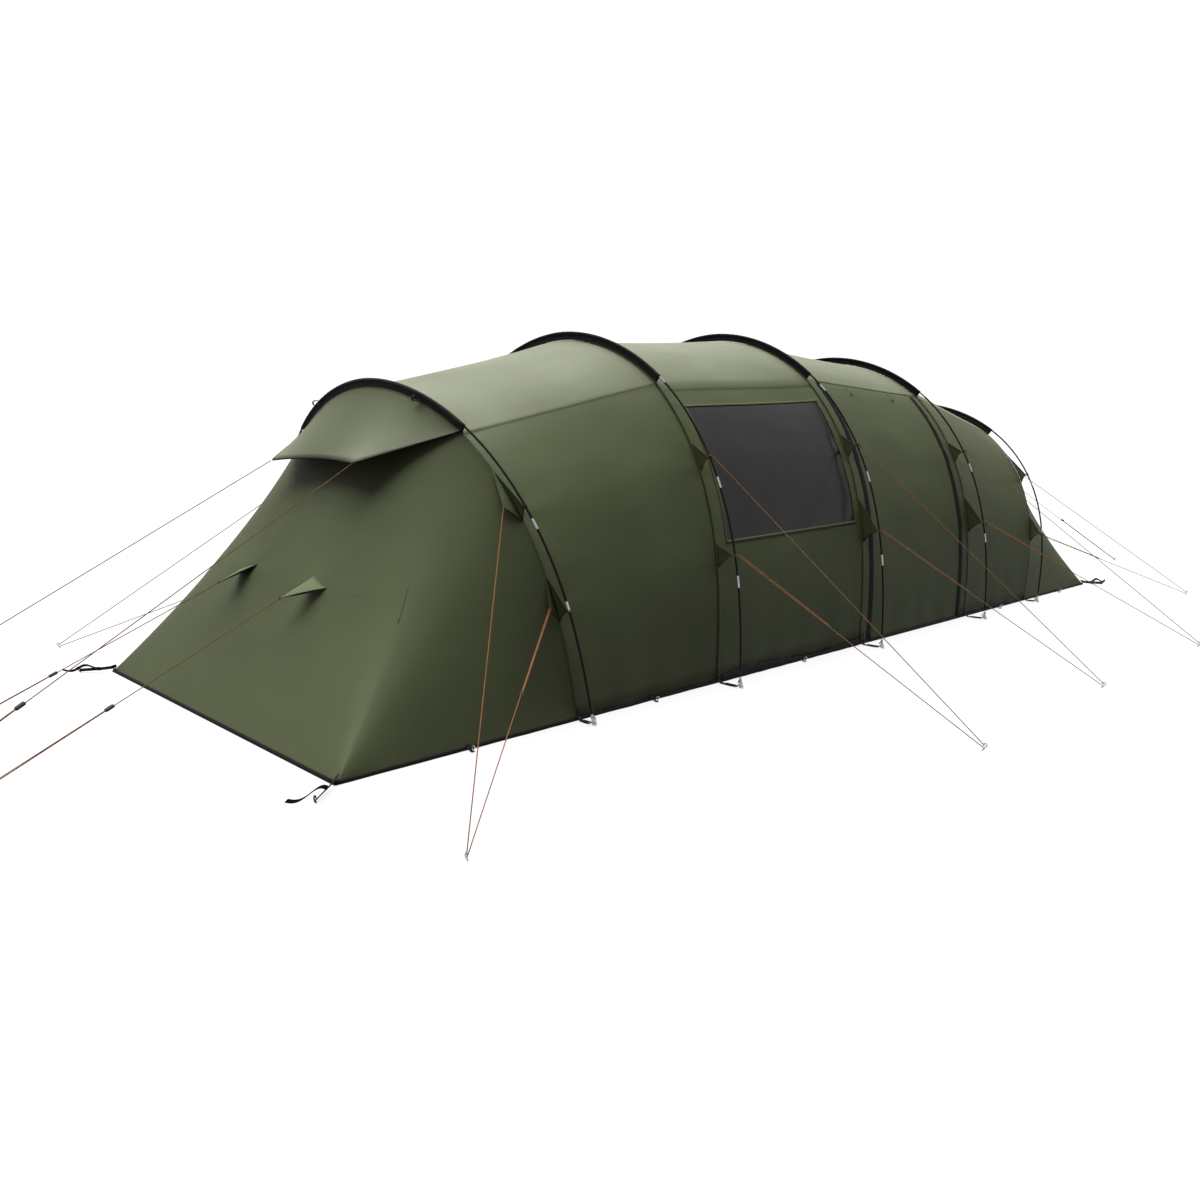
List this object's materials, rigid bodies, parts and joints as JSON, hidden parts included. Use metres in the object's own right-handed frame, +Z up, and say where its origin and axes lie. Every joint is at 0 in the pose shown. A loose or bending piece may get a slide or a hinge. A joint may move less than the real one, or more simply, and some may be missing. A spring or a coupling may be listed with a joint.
{
  "type": "tunnel tent on arched poles",
  "caption": "Long tunnel tent whose outer fly hangs inside arched poles, with sloping hooded ends, a clear side window, zipped side doors and corded guys.",
  "frame": {"origin": "on the ground under the middle pole, centre of the tent", "axes": "+X along the tent towards its rear end, +Y towards the far side, +Z up"},
  "size_m": [11.5013, 5.9066, 2.1292],
  "materials": {
    "pole_1": "satin black tube",
    "sleeve_1": "black woven sleeve",
    "pole_2": "satin black tube",
    "sleeve_2": "black woven sleeve",
    "pole_3": "satin black tube",
    "sleeve_3": "black woven sleeve",
    "pole_4": "satin black tube",
    "sleeve_4": "black woven sleeve",
    "pole_5": "satin black tube",
    "sleeve_5": "black woven sleeve",
    "fly_bay_1": "coated olive polyester",
    "fly_bay_4": "coated olive polyester",
    "fly_bay_2": "coated olive polyester",
    "fly_bay_3": "coated olive polyester",
    "window_near": "tinted flexible film",
    "door_near": "coated olive polyester",
    "window_far": "tinted flexible film",
    "door_far": "coated olive polyester",
    "end_front": "coated olive polyester",
    "end_rear": "coated olive polyester",
    "hood_front": "coated olive polyester",
    "hood_rear": "coated olive polyester",
    "groundsheet": "coated sheet",
    "bedroom_wall_front": "breathable inner fabric",
    "bedroom_wall_rear": "breathable inner fabric",
    "zip_slider_near": "black moulded",
    "zip_slider_far": "black moulded",
    "tab_front_near": "coated olive polyester",
    "tab_front_far": "coated olive polyester",
    "tab_rear_near": "coated olive polyester",
    "tab_rear_far": "coated olive polyester",
    "guy_1_near": "braided cord",
    "guy_1_far": "braided cord",
    "guy_2_near": "braided cord",
    "guy_2_far": "braided cord",
    "guy_3_near": "braided cord",
    "guy_3_far": "braided cord",
    "guy_4_near": "braided cord",
    "guy_4_far": "braided cord",
    "guy_5_near": "braided cord",
    "guy_5_far": "braided cord",
    "hood_guy_front_near": "braided cord",
    "hood_guy_front_near_runner": "black moulded",
    "tab_guy_front_near": "braided cord",
    "tab_guy_front_near_runner": "black moulded",
    "hood_guy_front_far": "braided cord",
    "hood_guy_front_far_runner": "black moulded",
    "tab_guy_front_far": "braided cord",
    "tab_guy_front_far_runner": "black moulded",
    "hood_guy_rear_near": "braided cord",
    "hood_guy_rear_near_runner": "black moulded",
    "tab_guy_rear_near": "braided cord",
    "tab_guy_rear_near_runner": "black moulded",
    "hood_guy_rear_far": "braided cord",
    "hood_guy_rear_far_runner": "black moulded",
    "tab_guy_rear_far": "braided cord",
    "tab_guy_rear_far_runner": "black moulded"
  },
  "bodies": {
    "tent": {"pole_1": "pole_1", "sleeve_1": "sleeve_1", "pole_2": "pole_2", "sleeve_2": "sleeve_2", "pole_3": "pole_3", "sleeve_3": "sleeve_3", "pole_4": "pole_4", "sleeve_4": "sleeve_4", "pole_5": "pole_5", "sleeve_5": "sleeve_5", "fly_bay_1": "fly_bay_1", "fly_bay_4": "fly_bay_4", "fly_bay_2": "fly_bay_2", "fly_bay_3": "fly_bay_3", "window_near": "window_near", "window_far": "window_far", "end_front": "end_front", "end_rear": "end_rear", "hood_front": "hood_front", "hood_rear": "hood_rear", "groundsheet": "groundsheet", "bedroom_wall_front": "bedroom_wall_front", "bedroom_wall_rear": "bedroom_wall_rear", "tab_front_near": "tab_front_near", "tab_front_far": "tab_front_far", "tab_rear_near": "tab_rear_near", "tab_rear_far": "tab_rear_far", "guy_1_near": "guy_1_near", "guy_1_far": "guy_1_far", "guy_2_near": "guy_2_near", "guy_2_far": "guy_2_far", "guy_3_near": "guy_3_near", "guy_3_far": "guy_3_far", "guy_4_near": "guy_4_near", "guy_4_far": "guy_4_far", "guy_5_near": "guy_5_near", "guy_5_far": "guy_5_far", "hood_guy_front_near": "hood_guy_front_near", "tab_guy_front_near": "tab_guy_front_near", "hood_guy_front_far": "hood_guy_front_far", "tab_guy_front_far": "tab_guy_front_far", "hood_guy_rear_near": "hood_guy_rear_near", "tab_guy_rear_near": "tab_guy_rear_near", "hood_guy_rear_far": "hood_guy_rear_far", "tab_guy_rear_far": "tab_guy_rear_far"},
    "door_near": {"door_near": "door_near"},
    "door_far": {"door_far": "door_far"},
    "zip_slider_near": {"zip_slider_near": "zip_slider_near"},
    "zip_slider_far": {"zip_slider_far": "zip_slider_far"},
    "hood_guy_front_near_runner": {"hood_guy_front_near_runner": "hood_guy_front_near_runner"},
    "tab_guy_front_near_runner": {"tab_guy_front_near_runner": "tab_guy_front_near_runner"},
    "hood_guy_front_far_runner": {"hood_guy_front_far_runner": "hood_guy_front_far_runner"},
    "tab_guy_front_far_runner": {"tab_guy_front_far_runner": "tab_guy_front_far_runner"},
    "hood_guy_rear_near_runner": {"hood_guy_rear_near_runner": "hood_guy_rear_near_runner"},
    "tab_guy_rear_near_runner": {"tab_guy_rear_near_runner": "tab_guy_rear_near_runner"},
    "hood_guy_rear_far_runner": {"hood_guy_rear_far_runner": "hood_guy_rear_far_runner"},
    "tab_guy_rear_far_runner": {"tab_guy_rear_far_runner": "tab_guy_rear_far_runner"}
  },
  "joints": [
    {"name": "door_near_lift", "type": "hinge", "parent": "tent", "child": "door_near", "pos_m": [0.75, -0.83439, 1.72872], "axis": [-0.9987, 0.0005, 0.0513], "range_deg": [0, 90]},
    {"name": "door_far_lift", "type": "hinge", "parent": "tent", "child": "door_far", "pos_m": [0.75, 0.83439, 1.72872], "axis": [0.9987, 0.0005, -0.0513], "range_deg": [0, 90]},
    {"name": "zip_slider_near_slide", "type": "slide", "parent": "tent", "child": "zip_slider_near", "axis": [0, 0, 1], "range_m": [0, 0.45]},
    {"name": "zip_slider_far_slide", "type": "slide", "parent": "tent", "child": "zip_slider_far", "axis": [0, 0, 1], "range_m": [0, 0.45]},
    {"name": "hood_guy_front_near_runner_slide", "type": "slide", "parent": "tent", "child": "hood_guy_front_near_runner", "axis": [-0.8652, -0.0982, -0.4917], "range_m": [-0.25, 0.25]},
    {"name": "tab_guy_front_near_runner_slide", "type": "slide", "parent": "tent", "child": "tab_guy_front_near_runner", "axis": [-0.9069, -0.0645, -0.4164], "range_m": [-0.25, 0.25]},
    {"name": "hood_guy_front_far_runner_slide", "type": "slide", "parent": "tent", "child": "hood_guy_front_far_runner", "axis": [-0.8652, 0.0982, -0.4917], "range_m": [-0.25, 0.25]},
    {"name": "tab_guy_front_far_runner_slide", "type": "slide", "parent": "tent", "child": "tab_guy_front_far_runner", "axis": [-0.9069, 0.0645, -0.4164], "range_m": [-0.25, 0.25]},
    {"name": "hood_guy_rear_near_runner_slide", "type": "slide", "parent": "tent", "child": "hood_guy_rear_near_runner", "axis": [0.9039, -0.142, -0.4034], "range_m": [-0.25, 0.25]},
    {"name": "tab_guy_rear_near_runner_slide", "type": "slide", "parent": "tent", "child": "tab_guy_rear_near_runner", "axis": [0.9069, -0.0645, -0.4164], "range_m": [-0.25, 0.25]},
    {"name": "hood_guy_rear_far_runner_slide", "type": "slide", "parent": "tent", "child": "hood_guy_rear_far_runner", "axis": [0.9039, 0.142, -0.4034], "range_m": [-0.25, 0.25]},
    {"name": "tab_guy_rear_far_runner_slide", "type": "slide", "parent": "tent", "child": "tab_guy_rear_far_runner", "axis": [0.9069, 0.0645, -0.4164], "range_m": [-0.25, 0.25]}
  ]
}
